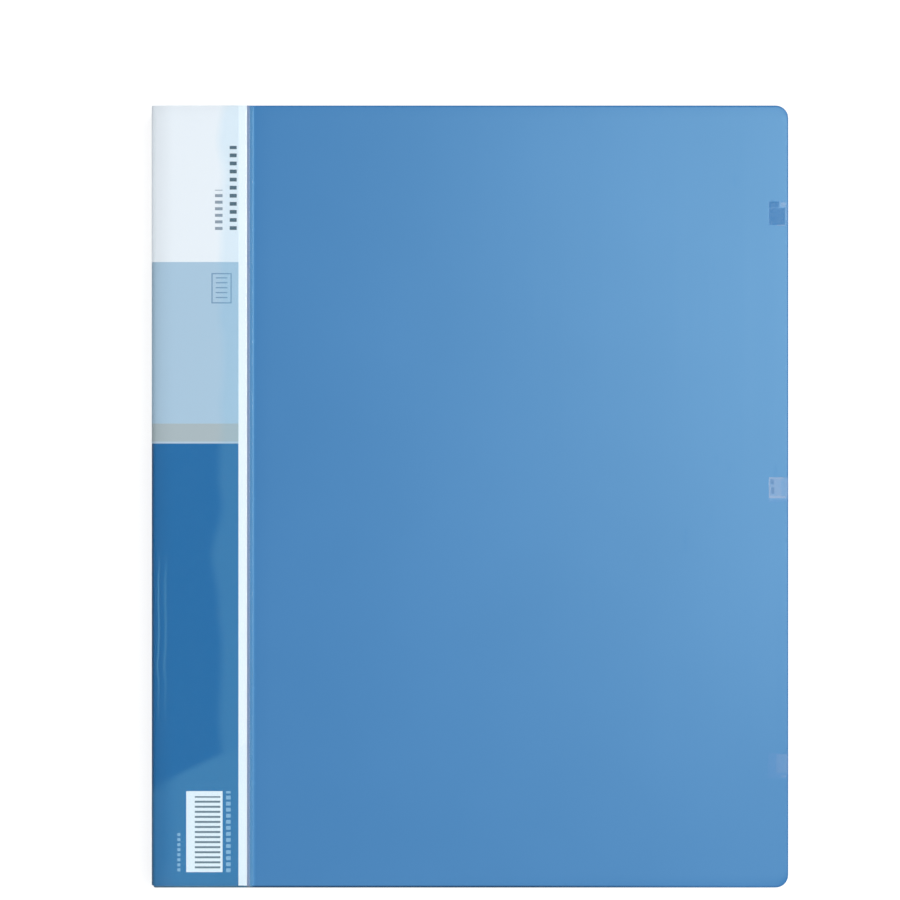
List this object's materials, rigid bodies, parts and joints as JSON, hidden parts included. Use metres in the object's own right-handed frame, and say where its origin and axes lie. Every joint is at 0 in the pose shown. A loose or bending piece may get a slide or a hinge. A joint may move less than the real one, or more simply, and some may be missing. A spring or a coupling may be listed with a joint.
{
  "type": "display book",
  "caption": "Display book: a folded plastic cover with clear pocket leaves bound in its spine and a title label under a clear sleeve.",
  "frame": {"origin": "on the surface that the closed book rests on, under the middle of its box", "axes": "+Z out of the front cover, +Y to the head of the page, +X to the fore edge, away from the spine"},
  "size_m": [0.2528, 0.31, 0.0201],
  "materials": {
    "cover": "fine matte polypropylene sheet, slightly see-through, blue",
    "binding": "milky polypropylene with weld marks",
    "film": "clear polypropylene film with slight waves",
    "label": "coated card printed in blue bands"
  },
  "bodies": {
    "back_cover": {"back_cover": "cover"},
    "spine": {"spine_panel": "cover", "binding_strip": "binding", "sleeve_spine": "film"},
    "front_strip": {"front_strip": "cover", "sleeve_front": "film"},
    "front_cover": {"front_cover": "cover", "cover_pocket": "film", "edge_tab_top": "film", "edge_tab_middle": "film", "edge_tab_bottom": "film"},
    "label_spine": {"label_spine": "label"},
    "label_front": {"label_front": "label"},
    "leaf_01": {"pocket_leaf_01": "film"},
    "leaf_02": {"pocket_leaf_02": "film"},
    "leaf_03": {"pocket_leaf_03": "film"},
    "leaf_04": {"pocket_leaf_04": "film"},
    "leaf_05": {"pocket_leaf_05": "film"},
    "leaf_06": {"pocket_leaf_06": "film"},
    "leaf_07": {"pocket_leaf_07": "film"},
    "leaf_08": {"pocket_leaf_08": "film"},
    "leaf_09": {"pocket_leaf_09": "film"},
    "leaf_10": {"pocket_leaf_10": "film"},
    "leaf_11": {"pocket_leaf_11": "film"},
    "leaf_12": {"pocket_leaf_12": "film"},
    "leaf_13": {"pocket_leaf_13": "film"},
    "leaf_14": {"pocket_leaf_14": "film"},
    "leaf_15": {"pocket_leaf_15": "film"},
    "leaf_16": {"pocket_leaf_16": "film"},
    "leaf_17": {"pocket_leaf_17": "film"},
    "leaf_18": {"pocket_leaf_18": "film"},
    "leaf_19": {"pocket_leaf_19": "film"},
    "leaf_20": {"pocket_leaf_20": "film"}
  },
  "joints": [
    {"name": "spine_fold", "type": "hinge", "parent": "back_cover", "child": "spine", "pos_m": [-0.12515, 0, 0.00035], "axis": [0, -1, 0], "range_deg": [0, 90]},
    {"name": "front_strip_fold", "type": "hinge", "parent": "spine", "child": "front_strip", "pos_m": [-0.12515, 0, 0.0188], "axis": [0, -1, 0], "range_deg": [0, 90]},
    {"name": "front_cover_fold", "type": "hinge", "parent": "front_strip", "child": "front_cover", "pos_m": [-0.0855, 0, 0.01965], "axis": [0, -1, 0], "range_deg": [0, 178]},
    {"name": "label_slide", "type": "slide", "parent": "front_strip", "child": "label_front", "axis": [0, 1, 0], "range_m": [0, 0.309]},
    {"name": "label_fold", "type": "hinge", "parent": "label_front", "child": "label_spine", "pos_m": [-0.12515, 0, 0.0188], "axis": [0, -1, 0], "range_deg": [-90, 0]},
    {"name": "leaf_01_turn", "type": "hinge", "parent": "spine", "child": "leaf_01", "pos_m": [-0.12345, 0, 0.00135], "axis": [0, -1, 0], "range_deg": [-81.43, 0]},
    {"name": "leaf_02_turn", "type": "hinge", "parent": "spine", "child": "leaf_02", "pos_m": [-0.12345, 0, 0.0022], "axis": [0, -1, 0], "range_deg": [-72.86, 0]},
    {"name": "leaf_03_turn", "type": "hinge", "parent": "spine", "child": "leaf_03", "pos_m": [-0.12345, 0, 0.00305], "axis": [0, -1, 0], "range_deg": [-64.29, 0]},
    {"name": "leaf_04_turn", "type": "hinge", "parent": "spine", "child": "leaf_04", "pos_m": [-0.12345, 0, 0.0039], "axis": [0, -1, 0], "range_deg": [-55.72, 0]},
    {"name": "leaf_05_turn", "type": "hinge", "parent": "spine", "child": "leaf_05", "pos_m": [-0.12345, 0, 0.00475], "axis": [0, -1, 0], "range_deg": [-47.15, 0]},
    {"name": "leaf_06_turn", "type": "hinge", "parent": "spine", "child": "leaf_06", "pos_m": [-0.12345, 0, 0.0056], "axis": [0, -1, 0], "range_deg": [-38.58, 0]},
    {"name": "leaf_07_turn", "type": "hinge", "parent": "spine", "child": "leaf_07", "pos_m": [-0.12345, 0, 0.00645], "axis": [0, -1, 0], "range_deg": [-30, 0]},
    {"name": "leaf_08_turn", "type": "hinge", "parent": "spine", "child": "leaf_08", "pos_m": [-0.12345, 0, 0.0073], "axis": [0, -1, 0], "range_deg": [-21.43, 0]},
    {"name": "leaf_09_turn", "type": "hinge", "parent": "spine", "child": "leaf_09", "pos_m": [-0.12345, 0, 0.00815], "axis": [0, -1, 0], "range_deg": [-12.86, 0]},
    {"name": "leaf_10_turn", "type": "hinge", "parent": "spine", "child": "leaf_10", "pos_m": [-0.12345, 0, 0.009], "axis": [0, -1, 0], "range_deg": [-4.29, 0]},
    {"name": "leaf_11_turn", "type": "hinge", "parent": "spine", "child": "leaf_11", "pos_m": [-0.12345, 0, 0.00985], "axis": [0, -1, 0], "range_deg": [0, 4.29]},
    {"name": "leaf_12_turn", "type": "hinge", "parent": "spine", "child": "leaf_12", "pos_m": [-0.12345, 0, 0.0107], "axis": [0, -1, 0], "range_deg": [0, 12.86]},
    {"name": "leaf_13_turn", "type": "hinge", "parent": "spine", "child": "leaf_13", "pos_m": [-0.12345, 0, 0.01155], "axis": [0, -1, 0], "range_deg": [0, 21.43]},
    {"name": "leaf_14_turn", "type": "hinge", "parent": "spine", "child": "leaf_14", "pos_m": [-0.12345, 0, 0.0124], "axis": [0, -1, 0], "range_deg": [0, 30]},
    {"name": "leaf_15_turn", "type": "hinge", "parent": "spine", "child": "leaf_15", "pos_m": [-0.12345, 0, 0.01325], "axis": [0, -1, 0], "range_deg": [0, 38.58]},
    {"name": "leaf_16_turn", "type": "hinge", "parent": "spine", "child": "leaf_16", "pos_m": [-0.12345, 0, 0.0141], "axis": [0, -1, 0], "range_deg": [0, 47.15]},
    {"name": "leaf_17_turn", "type": "hinge", "parent": "spine", "child": "leaf_17", "pos_m": [-0.12345, 0, 0.01495], "axis": [0, -1, 0], "range_deg": [0, 55.72]},
    {"name": "leaf_18_turn", "type": "hinge", "parent": "spine", "child": "leaf_18", "pos_m": [-0.12345, 0, 0.0158], "axis": [0, -1, 0], "range_deg": [0, 64.29]},
    {"name": "leaf_19_turn", "type": "hinge", "parent": "spine", "child": "leaf_19", "pos_m": [-0.12345, 0, 0.01665], "axis": [0, -1, 0], "range_deg": [0, 72.86]},
    {"name": "leaf_20_turn", "type": "hinge", "parent": "spine", "child": "leaf_20", "pos_m": [-0.12345, 0, 0.0175], "axis": [0, -1, 0], "range_deg": [0, 81.43]}
  ],
  "couplings": [
    {"joint": "front_strip_fold", "follows": "spine_fold", "ratio": 1},
    {"joint": "label_fold", "follows": "spine_fold", "ratio": -1},
    {"joint": "leaf_01_turn", "follows": "spine_fold", "ratio": -0.90476},
    {"joint": "leaf_02_turn", "follows": "spine_fold", "ratio": -0.80952},
    {"joint": "leaf_03_turn", "follows": "spine_fold", "ratio": -0.71429},
    {"joint": "leaf_04_turn", "follows": "spine_fold", "ratio": -0.61905},
    {"joint": "leaf_05_turn", "follows": "spine_fold", "ratio": -0.52381},
    {"joint": "leaf_06_turn", "follows": "spine_fold", "ratio": -0.42857},
    {"joint": "leaf_07_turn", "follows": "spine_fold", "ratio": -0.33333},
    {"joint": "leaf_08_turn", "follows": "spine_fold", "ratio": -0.2381},
    {"joint": "leaf_09_turn", "follows": "spine_fold", "ratio": -0.14286},
    {"joint": "leaf_10_turn", "follows": "spine_fold", "ratio": -0.047619},
    {"joint": "leaf_11_turn", "follows": "spine_fold", "ratio": 0.047619},
    {"joint": "leaf_12_turn", "follows": "spine_fold", "ratio": 0.14286},
    {"joint": "leaf_13_turn", "follows": "spine_fold", "ratio": 0.2381},
    {"joint": "leaf_14_turn", "follows": "spine_fold", "ratio": 0.33333},
    {"joint": "leaf_15_turn", "follows": "spine_fold", "ratio": 0.42857},
    {"joint": "leaf_16_turn", "follows": "spine_fold", "ratio": 0.52381},
    {"joint": "leaf_17_turn", "follows": "spine_fold", "ratio": 0.61905},
    {"joint": "leaf_18_turn", "follows": "spine_fold", "ratio": 0.71429},
    {"joint": "leaf_19_turn", "follows": "spine_fold", "ratio": 0.80952},
    {"joint": "leaf_20_turn", "follows": "spine_fold", "ratio": 0.90476}
  ]
}
